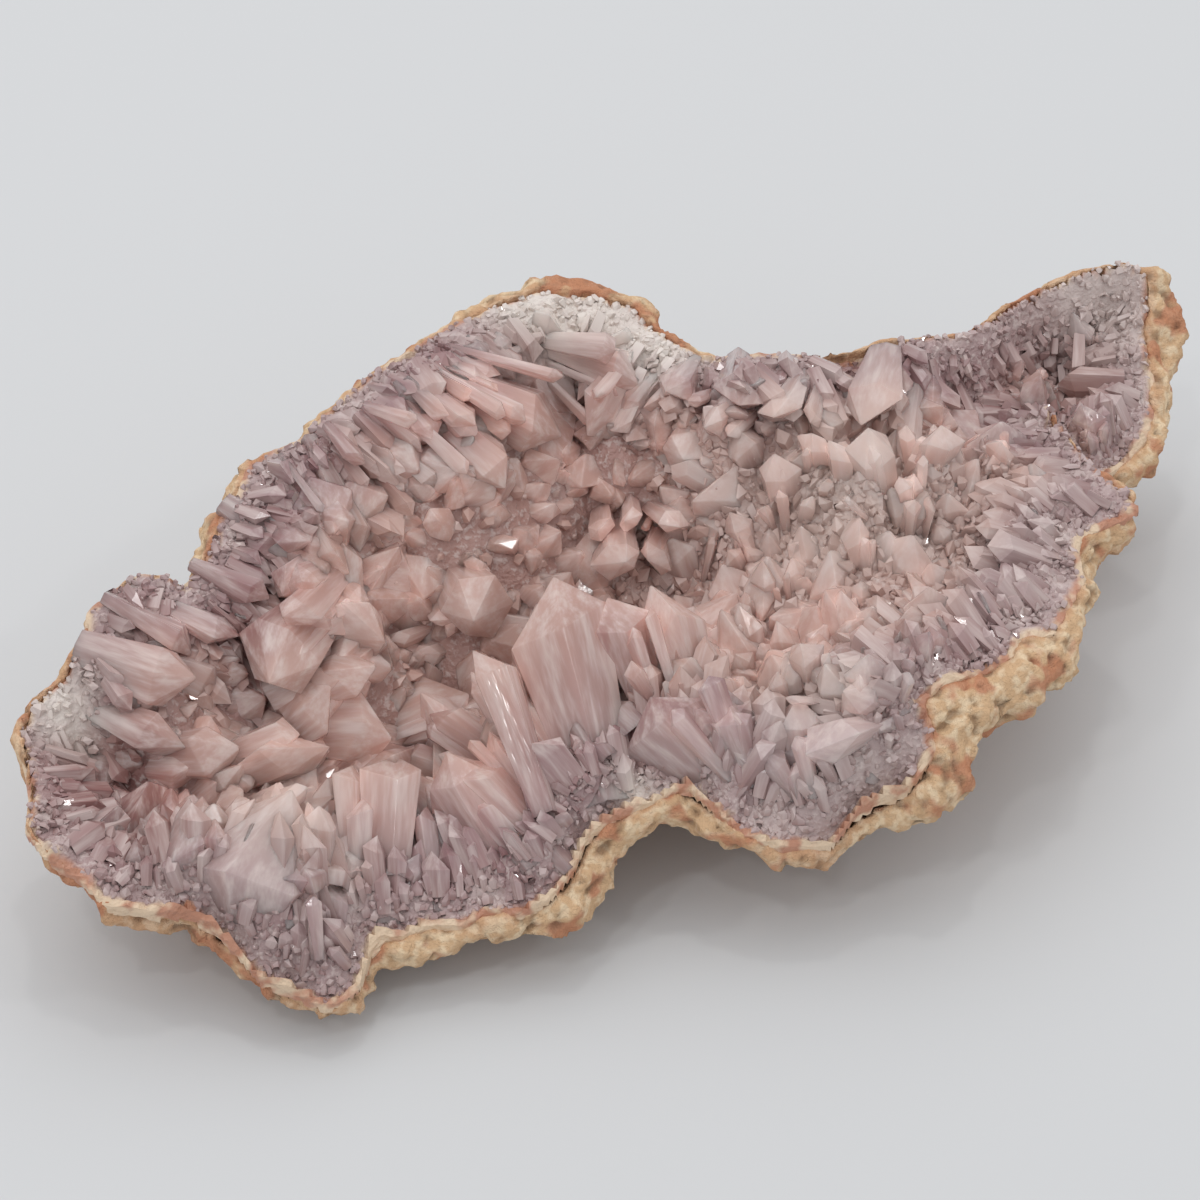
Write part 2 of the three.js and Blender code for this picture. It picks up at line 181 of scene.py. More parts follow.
def placed(marks):
    return np.array([place(across, down, height * mm)[:] for across, down, height in marks])


def nearestOnLine(corners, closed):
    # The distance to the nearest place on a line of corners, the height there, and the way to it.
    best = np.full(gridX.shape, np.inf)
    height, wayX, wayY = np.zeros((3, *gridX.shape))
    ends = np.roll(corners, -1, axis=0) if closed else corners[1:]
    for a, b in zip(corners, ends):
        along = b[:2] - a[:2]
        share = ((gridX - a[0]) * along[0] + (gridY - a[1]) * along[1]) / (along @ along)
        share = np.clip(share, 0, 1)
        offX, offY = a[0] + share * along[0] - gridX, a[1] + share * along[1] - gridY
        far = np.hypot(offX, offY)
        nearer = far < best
        best = np.where(nearer, far, best)
        height = np.where(nearer, a[2] + share * (b[2] - a[2]), height)
        wayX, wayY = np.where(nearer, offX, wayX), np.where(nearer, offY, wayY)
    return best, height, wayX, wayY


def insideOf(corners):
    inside = np.zeros(gridX.shape, bool)
    for a, b in zip(corners, np.roll(corners, -1, axis=0)):
        crosses = (a[1] > gridY) != (b[1] > gridY)
        rise = b[1] - a[1] if b[1] != a[1] else 1e-12
        inside ^= crosses & (gridX < (b[0] - a[0]) * (gridY - a[1]) / rise + a[0])
    return inside


def blurred(values, known, times):
    kept = np.where(known, values, 0)
    weight = known.astype(float)
    for _ in range(times):
        for axis in (0, 1):
            kept = kept + np.roll(kept, 1, axis) + np.roll(kept, -1, axis)
            weight = weight + np.roll(weight, 1, axis) + np.roll(weight, -1, axis)
        kept, weight = kept / 9, weight / 9
    return kept / np.maximum(weight, 1e-9)


rimCorners = placed(rim)
inCrust = insideOf(rimCorners)
toRim, _, rimX, rimY = nearestOnLine(rimCorners, True)
toSpine, spineHeight, _, _ = nearestOnLine(placed(spine), False)

# The rim's height and the way inwards at each place, from all corners of the rim by nearness.
weights = np.zeros(gridX.shape)
heights, inwardX, inwardY = np.zeros((3, *gridX.shape))
for x, y, height in rimCorners:
    far = np.maximum(np.hypot(gridX - x, gridY - y), 0.1 * mm) / mm
    weights += far**-4
    heights += height * far**-4
    inwardX += (gridX - x) / far**4
    inwardY += (gridY - y) / far**4
size = np.maximum(np.hypot(inwardX, inwardY), 1e-12)
inwardX, inwardY = inwardX / size, inwardY / size

fall = smooth(toRim / (toRim + toSpine), 0, plan["wall"])
ground = blend(heights / weights, spineHeight, fall)
ground += plan["lumpRise"] * smooth(toRim, 0, plan["lumpFrom"]) * np.array(
    [[noise.noise(Vector((x, y, 0)) / plan["lump"]) for x in xs] for y in ys]
)
for across, down, height, rise, radius in swells:
    at = place(across, down, height * mm)
    far = np.hypot(gridX - at.x, gridY - at.y)
    swell = rise * mm * np.exp(-((far / (radius * mm)) ** 2))
    ground += swell * smooth(toRim, 0, plan["swellFrom"])
ground += blend(plan["rimFill"], plan["fill"], smooth(toRim, *plan["fillBetween"]))
outside = np.where(inCrust, 0, toRim)
toRim[~inCrust] = 0
print("plan", inCrust.sum(), "places in the crust")

west, south = float(xs[0]), float(ys[0])
lastRow, lastColumn = len(ys) - 1, len(xs) - 1


def planAt(values, x, y):
    # What an array of the plan holds at the place nearest to x, y.
    column = round((float(x) - west) / plan["step"])
    row = round((float(y) - south) / plan["step"])
    return values.item(min(max(row, 0), lastRow), min(max(column, 0), lastColumn))


def onGround(across, down):
    # Down along the line of sight in steps of 0.25 mm, until it goes under the ground.
    ray = sight(across, down).normalized()
    for height in np.arange(55, 0, -0.25) * mm:
        at = eye + ray * ((height - eye.z) / ray.z)
        if planAt(inCrust, at.x, at.y) and planAt(ground, at.x, at.y) >= height:
            return Vector((at.x, at.y, planAt(ground, at.x, at.y)))


# Large crystals: pixels across and down of the tip, how far the tip stands over the foot, pixels
# across and down of the foot, and the radius; lengths in mm. First the long prisms on the back
# wall, then the stout ones at the left, those in the middle, the points on the hill at the right,
# the front edge from right to left, the big pink one at the lower left, and the arm.
largeCrystals = [
    (562, 424, -4, 446, 372, 5.2), (512, 484, -4, 424, 404, 4.4), (448, 492, -5, 372, 430, 3.2),
    (494, 516, -2, 388, 496, 3.6), (366, 548, -8, 318, 455, 3.8), (346, 578, -6, 284, 482, 3.2),
    (300, 560, -4, 236, 516, 3.4), (268, 604, -3, 206, 574, 3.6), (236, 642, -2, 176, 612, 3.2),
    (196, 650, -3, 122, 612, 3.6), (190, 688, 0, 96, 660, 4), (180, 752, 1, 96, 712, 4),
    (640, 378, 0, 560, 352, 3.8), (668, 398, 2, 690, 368, 3), (738, 404, 3, 742, 366, 3.6),
    (590, 436, -3, 628, 376, 4), (700, 428, 3, 742, 400, 3.4), (866, 418, 2, 880, 362, 4.2),
    (905, 455, 1, 916, 385, 3.6), (770, 420, 3, 800, 372, 3.4),
    (536, 498, 8, 500, 560, 4.8), (556, 570, 9, 530, 620, 5.4), (486, 622, 9, 452, 580, 5.6),
    (428, 572, 7, 440, 610, 3.6), (258, 668, 7, 330, 600, 6), (384, 632, 6, 322, 610, 4.4),
    (378, 668, 5, 446, 640, 4.6),
    (542, 587, 15, 600, 792, 8.6), (650, 584, 13, 690, 700, 6.2), (618, 594, 13, 650, 712, 4.4),
    (620, 566, 9, 618, 520, 4.6), (652, 566, 4, 668, 530, 3),
    (716, 500, 8, 700, 560, 4), (660, 446, 6, 716, 486, 5.6), (730, 506, 8, 750, 552, 3.4),
    (738, 604, 9, 756, 664, 4.4),
    (868, 431, 15, 888, 506, 4.2), (813, 433, 13, 822, 492, 2.4), (840, 438, 12, 846, 500, 3.2),
    (943, 426, 13, 926, 486, 3.4), (778, 455, 12, 786, 520, 3.2), (912, 470, 9, 908, 520, 3),
    (1000, 438, 8, 1000, 474, 2.6), (852, 520, 8, 858, 566, 3), (760, 560, 7, 772, 606, 2.8),
    (640, 702, 9, 706, 772, 5.6), (722, 696, 9, 742, 768, 4.2), (786, 700, 9, 804, 776, 4.6),
    (800, 756, 3, 882, 726, 5), (868, 652, 10, 872, 712, 3.4), (804, 636, 9, 812, 690, 3.4),
    (846, 690, 7, 884, 716, 3.6), (920, 628, 7, 924, 664, 2.8),
    (508, 690, 9, 588, 794, 3.8), (482, 672, 10, 552, 800, 4.4), (466, 756, 8, 560, 858, 4.6),
    (440, 756, 9, 506, 868, 4.6), (396, 752, 11, 388, 908, 5.2), (346, 764, 9, 352, 886, 4.2),
    (424, 806, 6, 436, 898, 2.8), (470, 698, 6, 350, 742, 5.4), (414, 700, 6, 500, 762, 4.4),
    (268, 792, 15, 252, 902, 9.5), (330, 740, 9, 232, 790, 6), (172, 800, 9, 186, 872, 5.4),
    (318, 868, 7, 322, 938, 4.2),
    (1044, 380, 6, 1024, 402, 3.6), (1086, 402, 5, 1090, 432, 3.2), (1074, 318, 5, 1080, 346, 3),
]

standing = []  # foot, tip and radius of each
for tipX, tipY, rise, footX, footY, radius in largeCrystals:
    foot = onGround(footX, footY)
    tip = place(tipX, tipY, foot.z + rise * mm)
    standing.append((foot, tip, radius * mm))


# Where the crust is chalky white, where it is a little paler, where painted shade darkens its
# hollows and dark pockets, and where its crystals are fine: pixels across and down, height and
# radius in mm.
chalk = [(590, 305, 48, 10), (520, 300, 49, 8), (660, 345, 46, 6), (60, 700, 32, 5),
         (640, 800, 22, 3)]
pale = [(850, 530, 30, 14), (1105, 300, 36, 12), (820, 735, 24, 10), (300, 850, 16, 9)]
pocketShade = [(112, 800, 20, 10), (575, 450, 26, 12), (1062, 395, 26, 8), (270, 712, 18, 6),
         (850, 408, 30, 6), (640, 772, 20, 4), (425, 762, 16, 3), (150, 850, 18, 7),
         (600, 700, 22, 6)]
sparkle = [(850, 540, 28, 15), (950, 520, 30, 13), (1010, 590, 30, 13), (720, 540, 24, 9),
           (1100, 320, 34, 18), (640, 600, 24, 7), (830, 790, 22, 9), (690, 790, 22, 6)]


def wash(marks):
    total = np.zeros(gridX.shape)
    for across, down, height, radius in marks:
        at = place(across, down, height * mm)
        far = np.hypot(gridX - at.x, gridY - at.y) / (radius * mm)
        total += np.exp(-(far**2))
    return np.minimum(total, 1)


chalked, paled, pocketShaded, sparkling = wash(chalk), wash(pale), wash(pocketShade), wash(sparkle)


# The ground is banked up round the large crystals, which stand half buried in the mass.
bank = {
    "length": 0.5,  # share of a crystal's length that is buried
    "sunk": 0.5,  # how far the ground stays under its middle line, in radii
    "wide": 0.7,  # half width of the bank, in radii, and how steep its sides are
    "slope": 1.3,
    "mound": 1.2,  # radius and rise of the mound round its foot, in radii
    "moundRise": 0.5,
    "from": 4 * mm,  # full height this far in from the rim
    "pocketDip": 3 * mm,  # the hollows under painted shade lie deeper
    "under": 0.2 * mm,  # the ground stays this far under the top of the frame
}


def banked(ground):
    raised = ground.copy()
    for foot, tip, radius in standing:
        top = foot + (tip - foot) * bank["length"]
        along = np.array((top - foot)[:2])
        share = ((gridX - foot.x) * along[0] + (gridY - foot.y) * along[1]) / (along @ along)
        share = np.clip(share, 0, 1)
        far = np.hypot(gridX - foot.x - share * along[0], gridY - foot.y - share * along[1])
        height = foot.z + share * (top.z - foot.z) - bank["sunk"] * radius
        beside = np.maximum(far - bank["wide"] * radius, 0) * bank["slope"]
        raised = np.where(inCrust, np.maximum(raised, height - beside), raised)
        near = np.hypot(gridX - foot.x, gridY - foot.y) / (bank["mound"] * radius)
        raised += bank["moundRise"] * radius * np.exp(-(near**2))
    return blend(ground, raised, smooth(toRim, 0, bank["from"]))


ground = np.minimum(banked(ground) - bank["pocketDip"] * pocketShaded, high[2] - bank["under"])
slopeY, slopeX = np.gradient(blurred(ground, inCrust, 3), plan["step"])


# The ground under the crystals, sugary with broken grains. It ends in a lip over the rind.
groundLook = {
    "grain": 1.6 * mm,  # size and rise of the fine grains and of the coarse blocks
    "rise": 0.5 * mm,
    "coarse": 4.5 * mm,
    "coarseRise": 0.3 * mm,
    "lip": 1.0 * mm,  # how far it reaches over the rim, how steeply, and how far it hangs down
    "lipSlope": 0.45,
    "skirt": 2.4 * mm,
    "over": 0.3 * mm,  # how far it may stand over the frame
    "seam": 0.7 * mm,  # width of the cream and rust edging
    "light": 0.75,  # how far the painted shade is lifted at the rim, and where this lift ends
    "lightTo": (3 * mm, 9 * mm),
}


def grainy(point):
    fine = noise.noise(point / groundLook["grain"]) * groundLook["rise"]
    return fine + noise.cell(point / groundLook["coarse"]) * groundLook["coarseRise"]


def grown(inside, times):
    # Wider by one place of the grid on every side, so many times.
    for _ in range(times):
        wider = inside.copy()
        for axis in (0, 1):
            for step in (1, -1):
                wider |= np.roll(inside, step, axis)
        inside = wider
    return inside


# Where the tones of the crystals change, in mm in from the rim: mauve at the rim turns to peach
# further in, and frost lies along the rim, in veils, and where the crystals are fine.
toneLook = {
    "wander": 13 * mm,  # size of the waves in those lines, and how far they move them in mm
    "wanderBy": 9,
    "peach": (5, 17),
    "edge": (0.5, 7),
    "edgeFrost": 0.42,
    "edgeWander": 0.25,
    "veil": 6 * mm,  # size of the frosty veils
    "veilFrost": 0.5,
    "veilBetween": (0.05, 0.75),
    "fineFrost": 0.3,
    "paleChalk": 0.4,
}


def paintPoints(obj, points, distances):
    look = toneLook
    peach, frost, white, dark = [], [], [], []
    for point, distance in zip(points, distances):
        at = Vector(point)
        wander = noise.noise(at / look["wander"]) * look["wanderBy"]
        peach.append(float(smooth(distance + wander, *look["peach"])))
        veil = smooth(noise.fractal(at / look["veil"], 0.7, 2.1, 4), *look["veilBetween"])
        edge = 1 - smooth(distance + wander * look["edgeWander"], *look["edge"])
        fine = look["fineFrost"] * planAt(sparkling, at.x, at.y)
        edging, veils = look["edgeFrost"] * float(edge), look["veilFrost"] * float(veil)
        frost.append(min(1, edging + veils + fine))
        paler = look["paleChalk"] * planAt(paled, at.x, at.y)
        white.append(min(1, planAt(chalked, at.x, at.y) + paler))
        # painted shade in the hollows and dark pockets
        dark.append(planAt(pocketShaded, at.x, at.y))
    writeValues(obj, "peach", peach)
    writeValues(obj, "frost", frost)
    writeValues(obj, "chalk", white)
    writeValues(obj, "pocketShade", dark)


# The height of the ground, and a smooth continuation of it past the rim.
spreadGround = np.where(inCrust, ground, blurred(ground, inCrust, 14))


def buildGround():
    look = groundLook
    index = -np.ones(gridX.shape, int)
    points, distances = [], []
    for row, column in np.argwhere(grown(inCrust, 4)):
        # What lies past the lip is drawn back to it, so that the edge follows the rim's line.
        beyond = outside[row, column]
        back = max(0, 1 - look["lip"] / beyond) if beyond else 0
        x = gridX[row, column] + rimX[row, column] * back
        y = gridY[row, column] + rimY[row, column] * back
        skirt = min(max(0, beyond - look["lip"]), look["skirt"])
        fallen = look["lipSlope"] * min(beyond, look["lip"])
        at = Vector((x, y, spreadGround[row, column] - fallen - skirt))
        at.z = min(at.z + grainy(at), high[2] + look["over"])
        index[row, column] = len(points)
        points.append(at)
        distances.append(toRim[row, column])
    faces = []
    for row, column in np.argwhere(index >= 0):
        if row + 1 >= len(ys) or column + 1 >= len(xs):
            continue
        a, b = index[row, column], index[row, column + 1]
        c, d = index[row + 1, column + 1], index[row + 1, column]
        if min(a, b, c, d) >= 0:
            faces.append((int(a), int(b), int(c), int(d)))
    obj = addMesh("crustGround", points, faces)
    paintPoints(obj, points, np.array(distances) / mm)
    # Painted shade, written as "up": light near the rim and where the crystals are fine, dark deep
    # between the large ones.
    bright = [
        max(1 - smooth(d, *look["lightTo"]), planAt(sparkling, p.x, p.y))
        for p, d in zip(points, distances)
    ]
    writeValues(obj, "up", look["light"] * np.array(bright))
    writeValues(obj, "seam", 1 - smooth(np.array(distances), 0, look["seam"]))
    return obj


crustGround = buildGround()
print("ground", len(crustGround.data.polygons), "faces")


# Crystals: six-sided quartz prisms with pointed ends, their sides and ends of uneven size.
crystalShape = {
    "over": 0.8 * mm,  # how far one may stand over the frame: those that would stand higher are sunk
    "squash": (0.72, 1.25),  # width across against width along
    "shoulder": (0.55, 1.35),  # length of each side face's own part of the point
    "longestPoint": 0.6,  # share of the length
    "lean": 0.45,  # how far the tip is off the middle, in radii
}
tallest = high[2] + crystalShape["over"]


class CrystalBatch:
    # Many crystals joined in one mesh. "up" runs from 0 at a foot to 1 at a tip, "tint" is one
    # number for each crystal, and "grain" is a place in the crystal's own stretched space.
    def __init__(self, name, seed):
        self.name = name
        self.chance = random.Random(seed)
        self.points, self.faces, self.ups, self.tints, self.grain = [], [], [], [], []

    def add(self, foot, axis, length, radius, taper=0.85, point=1.1, uneven=0.3):
        top = foot.z + max(0, axis.z * length) + radius * math.sqrt(1 - min(1, axis.z**2))
        foot = foot - Vector((0, 0, max(0, top - tallest)))
        chance = self.chance
        shape = crystalShape
        first = len(self.points)
        turn = axis.to_track_quat("Z", "Y") @ Quaternion((0, 0, 1), chance.uniform(0, 6.28))
        pointLength = min(point * radius, shape["longestPoint"] * length)
        start = chance.uniform(0, 500)
        lean = Vector((chance.uniform(-1, 1), chance.uniform(-1, 1), 0)) * shape["lean"] * radius
        wide = [radius * chance.uniform(1 - uneven, 1 + uneven * 0.5) for _ in range(6)]
        squash = chance.uniform(*shape["squash"])
        shoulders = [length - pointLength * chance.uniform(*shape["shoulder"]) for _ in range(6)]
        stretched = 0.13 / mm  # the grain is long along the crystal
        for up, share in ((0, taper), (1, 1)):
            for k in range(6):
                angle = k * math.pi / 3
                side = Vector((math.cos(angle) * squash, math.sin(angle) / squash, 0))
                side *= wide[k] * share
                side.z = shoulders[k] * up
                self.points.append(foot + turn @ side)
                self.grain += [side.x / mm + start, side.y / mm, side.z * stretched]
        self.points.append(foot + turn @ (Vector((0, 0, length)) + lean))
        self.grain += [start, 0, length * stretched]
        for k in range(6):
            n = (k + 1) % 6
            self.faces.append((first + k, first + n, first + 6 + n, first + 6 + k))
            self.faces.append((first + 6 + k, first + 6 + n, first + 12))
        self.ups += [0.0] * 6 + [0.75] * 6 + [1.0]
        self.tints += [chance.random()] * 13

    def build(self):
        obj = addMesh(self.name, self.points, self.faces)
        distances = [planAt(toRim, p.x, p.y) / mm for p in self.points]
        paintPoints(obj, self.points, distances)
        writeValues(obj, "up", self.ups)
        writeValues(obj, "tint", self.tints)
        layer = obj.data.attributes.new("grain", "FLOAT_VECTOR", "POINT")
        layer.data.foreach_set("vector", np.array(self.grain, dtype=np.float32))
        print(self.name, len(obj.data.polygons), "faces")
        return obj


# Each large crystal has smaller ones round its foot, leaning away from it a little.
company = {
    "count": (6, 10),
    "size": (0.22, 0.6),  # radius, as a share of the large one's
    "reach": (0.45, 0.9),  # length, as a share of the large one's
    "off": (0.5, 1.15),  # how far off its middle line they stand, in its radii
    "spread": 0.2,
    "fromRim": 3 * mm,  # none grow nearer to the rim
    "buried": 2.6 * mm,  # how far all of them start below their foot
    "stout": 7 * mm,  # one with a larger radius is narrow at the foot and even in its sides
}


def buildLarge():
    batch = CrystalBatch("largeCrystals", 5)
    chance = batch.chance
    for foot, tip, radius in standing:
        axis = (tip - foot).normalized()
        start = foot - axis * company["buried"]
        length = (tip - start).length
        stout = radius > company["stout"]
        taper, uneven = (0.55, 0.2) if stout else (chance.uniform(0.4, 0.65), 0.4)
        batch.add(start, axis, length, radius * 0.95, taper=taper, uneven=uneven)
        side = axis.orthogonal().normalized()
        for _ in range(chance.randint(*company["count"])):
            around = Quaternion(axis, chance.uniform(0, 6.28)) @ side
            share = chance.uniform(*company["size"])
            beside = start + around * radius * chance.uniform(*company["off"])
            if planAt(toRim, beside.x, beside.y) < company["fromRim"]:
                continue
            lean = (axis + around * chance.gauss(0.05, company["spread"])).normalized()
            long = length * chance.uniform(*company["reach"])
            batch.add(beside, lean, long, radius * share, taper=0.6, uneven=0.45)
    return batch.build()


# The way crystals grow at a place: like the large ones near it.
feet = np.array([foot[:2] for foot, _, _ in standing])
ways = np.array([(tip - foot).normalized()[:] for foot, tip, _ in standing])


def wayAt(x, y):
    weight = 1 / (((feet - (x, y)) ** 2).sum(1) + (4 * mm) ** 2) ** 1.5
    return Vector((ways * weight[:, None]).sum(0)).normalized()


# Druse: thousands of smaller crystals between the large ones, in sizes from long to fine. "spacing"
# and "radius" are in mm and "long" is in radii. "rim" is where, in mm in from the rim, they start
# and reach their full size, "stray" is how far they turn off their way, "flat" is how far they lie
# along the wall instead of standing like the large ones, and "share" is how many grow at each place.
belt = 1 - smooth(toRim, 8 * mm, 15 * mm)  # along the rim
bare = 1 - 0.8 * chalked
druseSizes = [
    {"name": "wallCrystals", "spacing": 1.9, "radius": (0.9, 2.6), "long": (2.4, 4.6),
     "rim": (1, 7), "stray": 0.12, "flat": 1, "share": belt * bare, "seed": 3},
    {"name": "stoutCrystals", "spacing": 3.2, "radius": (2.0, 5.6), "long": (1.5, 2.4),
     "rim": (5, 13), "stray": 0.3, "flat": 0, "share": 1 - 0.7 * sparkling, "seed": 7},
    {"name": "druseCrystals", "spacing": 1.5, "radius": (0.5, 1.5), "long": (2.0, 3.2),
     "rim": (0.5, 8), "stray": 0.3, "flat": 0.2,
     "share": np.clip(0.12 + 0.5 * belt + sparkling, 0, 1) * bare, "seed": 21},
    {"name": "fineDruse", "spacing": 0.95, "radius": (0.38, 0.95), "long": (1.4, 2.4),
     "rim": (-1, 1), "stray": 0.45, "flat": 0.3,
     "share": np.clip(1 - smooth(toRim, 3 * mm, 9 * mm) + sparkling * 0.8, 0, 1), "seed": 33},
]


druseLook = {
    "scatter": 0.6,  # how far off its place on the grid one stands, in spacings
    "least": 0.15,  # none grow where they would reach less than this share of their size
    "rimSize": 0.5,  # radius at the rim, as a share of the full one
    "offWall": 0.25,  # how far the lying ones stand off the wall
    "upright": 0.15,  # how far all turn towards the ground's normal
}


def softEdges(obj, width, segments):
    # Edges a little worn, on a smooth shaded mesh with flat faces.
    bevel = obj.modifiers.new("worn edges", "BEVEL")
    bevel.width = width
    bevel.segments = segments
    bevel.limit_method = "ANGLE"
    bevel.angle_limit = math.radians(12)
    bevel.harden_normals = True
    obj.data.shade_smooth()


def buildDruse(kind):
    batch = CrystalBatch(kind["name"], kind["seed"])
    chance = batch.chance
    look = druseLook
    spacing = kind["spacing"] * mm
    scatter = look["scatter"]
    for x in np.arange(low[0], high[0], spacing):
        for y in np.arange(low[1], high[1], spacing):
            px = x + chance.uniform(-scatter, scatter) * spacing
            py = y + chance.uniform(-scatter, scatter) * spacing
            share = chance.random()
            if not planAt(inCrust, px, py) or chance.random() > planAt(kind["share"], px, py):
                continue
            full = float(smooth(planAt(toRim, px, py) / mm, *kind["rim"]))
            if full < look["least"]:
                continue
            # More small ones than large ones.
            radius = blend(*kind["radius"], share**1.5) * mm * blend(look["rimSize"], 1, full)
            slope = Vector((planAt(slopeX, px, py), planAt(slopeY, px, py), 0))
            inward = Vector((planAt(inwardX, px, py), planAt(inwardY, px, py), 0))
            normal = Vector((-slope.x, -slope.y, 1)).normalized()
            inward.z = inward.dot(slope)
            lying = inward.normalized() + normal * look["offWall"]
            way = wayAt(px, py).lerp(lying, kind["flat"])
            stray = Vector([chance.gauss(0, kind["stray"]) for _ in range(3)])
            axis = (way + normal * look["upright"] + stray).normalized()
            foot = Vector((px, py, planAt(ground, px, py))) - axis * radius
            long = blend(*kind["long"], chance.random()) * radius
            tip = foot + axis * (long + radius)
            if not planAt(inCrust, tip.x, tip.y):
                continue
            batch.add(foot, axis, long, radius, point=1.15, uneven=0.45)
    return batch.build()


largeOnes = buildLarge()
druse = {kind["name"]: buildDruse(kind) for kind in druseSizes}
softEdges(largeOnes, 0.4 * mm, 2)
softEdges(druse["stoutCrystals"], 0.3 * mm, 1)


# The rind: the frame's own rind made fine, with lumps, knobs and pits.
rindLook = {
    "voxel": 0.83 * mm,
    "lump": 6 * mm,  # size and rise of each
    "lumpRise": 1.3 * mm,
    "knob": 2.8 * mm,
    "knobRise": 1.5 * mm,
    "pit": 1.9 * mm,
    "pitDepth": 2.0 * mm,
    "calm": 0.3,  # share of them at the rim, and where they reach their full rise
    "calmTo": 3.5 * mm,
    "crustGap": 0.5 * mm,  # the side that faces the crust is set back by this
    "underCrust": 8 * mm,  # and reaches this far below the ground
}


def buildRind():
    obj = rindNode.copy()
    obj.data = rindNode.data.copy()
    obj.name = "rindStone"
    bpy.context.collection.objects.link(obj)
    obj.data.materials.clear()
    remesh = obj.modifiers.new("fine", "REMESH")
    remesh.mode = "VOXEL"
    remesh.voxel_size = rindLook["voxel"]
    depsgraph = bpy.context.evaluated_depsgraph_get()
    mesh = bpy.data.meshes.new_from_object(obj.evaluated_get(depsgraph))
    obj.modifiers.clear()
    obj.data = mesh
    look = rindLook
    distances, hollows = [], []
    normals = [v.normal.copy() for v in mesh.vertices]
    for vertex, normal in zip(mesh.vertices, normals):
        at = vertex.co.copy()
        inside, fromRim = planAt(inCrust, at.x, at.y), planAt(outside, at.x, at.y)
        depth = planAt(spreadGround, at.x, at.y) - at.z
        lump = noise.noise(at / look["lump"]) * look["lumpRise"]
        knob = (0.45 - noise.voronoi(at / look["knob"])[0][0]) * look["knobRise"]
        pit = min(0, noise.noise(at / look["pit"]) + 0.1) * look["pitDepth"]
        rough = blend(look["calm"], 1, smooth(fromRim + max(0, depth), 0, look["calmTo"]))
        if inside and normal.z > 0 and depth < look["underCrust"]:
            vertex.co = at - normal * look["crustGap"]
        else:
            vertex.co = at + normal * float(rough * (lump + knob + pit))
        vertex.co.z = max(vertex.co.z, 0)
        distances.append(fromRim / mm)
        hollows.append(-pit / mm)
    mesh.shade_smooth()
    writeValues(obj, "toRim", distances)
    writeValues(obj, "hollow", hollows)
    print("rind", len(mesh.polygons), "faces")
    return obj


rindStone = buildRind()


class Wire:
    # An output of a node, with sums and products written as usual.
    def __init__(self, finish, socket):
        self.finish, self.socket = finish, socket

    def __add__(self, other):
        return self.finish.maths("ADD", self, other)

    def __sub__(self, other):
        return self.finish.maths("SUBTRACT", self, other)

    def __rsub__(self, other):
        return self.finish.maths("SUBTRACT", other, self)

    def __mul__(self, other):
        return self.finish.maths("MULTIPLY", self, other)

    __radd__ = __add__
    __rmul__ = __mul__


class Finish:
    # A material and the nodes that paint it.
    def __init__(self, name):
        self.material = bpy.data.materials.new(name)
        self.material.use_nodes = True
        self.tree = self.material.node_tree
        self.shader = self.tree.nodes["Principled BSDF"]

    def node(self, kind, settings=None, inputs=None, output=0):
        made = self.tree.nodes.new("ShaderNode" + kind)
        for key, value in (settings or {}).items():
            setattr(made, key, value)
        for key, value in (inputs or {}).items():
            self.feed(made.inputs[key], value)
        return Wire(self, made.outputs[output])

    def feed(self, socket, value):
        if isinstance(value, Wire):
            self.tree.links.new(value.socket, socket)
        else:
            socket.default_value = value

    def maths(self, operation, a, b):
        return self.node("Math", {"operation": operation}, {0: a, 1: b})

    def between(self, value, low, high):
        # 0 below low, 1 above high and smooth between them.
        inputs = {"Value": value, "From Min": low, "From Max": high}
        return self.node("MapRange", {"interpolation_type": "SMOOTHSTEP"}, inputs)

    def mix(self, share, a, b):
        # The Mix node's colours are its sockets 6 and 7, and its mixed colour is output 2.
        return self.node("Mix", {"data_type": "RGBA"}, {"Factor": share, 6: a, 7: b}, 2)

    def noise(self, scale, detail, roughness=0.6, vector=None):
        vector = vector or self.node("TexCoord", output="Object")
        inputs = {"Vector": vector, "Scale": scale, "Detail": detail, "Roughness": roughness}
        return self.node("TexNoise", {}, inputs)

    def painted(self, name, output="Fac"):
        # What writeValues left on the mesh.
        return self.node("Attribute", {"attribute_name": name}, output=output)

    def bump(self, height, strength, distance):
        inputs = {"Height": height, "Strength": strength, "Distance": distance}
        return self.node("Bump", {}, inputs)

    def shine(self, **values):
        for key, value in values.items():
            self.feed(self.shader.inputs[key.replace("_", " ")], value)


def colour(red, green, blue):
    # From the 0 to 255 scale of a screen to the straight scale of light.
    line = [((c / 255 + 0.055) / 1.055) ** 2.4 for c in (red, green, blue)]
    return (*line, 1)


crystalLook = {
    "peach": colour(190, 155, 144),
    "mauve": colour(148, 115, 117),
    "frost": colour(214, 199, 194),
    # painted shade: the colour that darkens the crystals' feet, the ground deep between the large
    # ones, and the hollows
    "shadeTone": colour(134, 90, 86),
    "chalk": colour(236, 229, 220),
    "crust": colour(224, 198, 166),  # edging at the rim
    "rust": colour(186, 126, 94),
    "frosted": 0.75,  # how strongly each of them covers
    # how strongly painted shade darkens the feet and the hollows
    "footShade": 0.4,
    "pocketShaded": 0.8,
    "chalked": 0.75,
    "streaked": 0.7,
    "sugared": 0.5,
    "tinted": 0.35,
    "edged": 0.85,
    "scatterDepth": 5 * mm,  # of light in the milky ones, and how much of red, green and blue
    "scatterColour": (1.0, 0.78, 0.74),
    "index": 1.54,  # of refraction
}


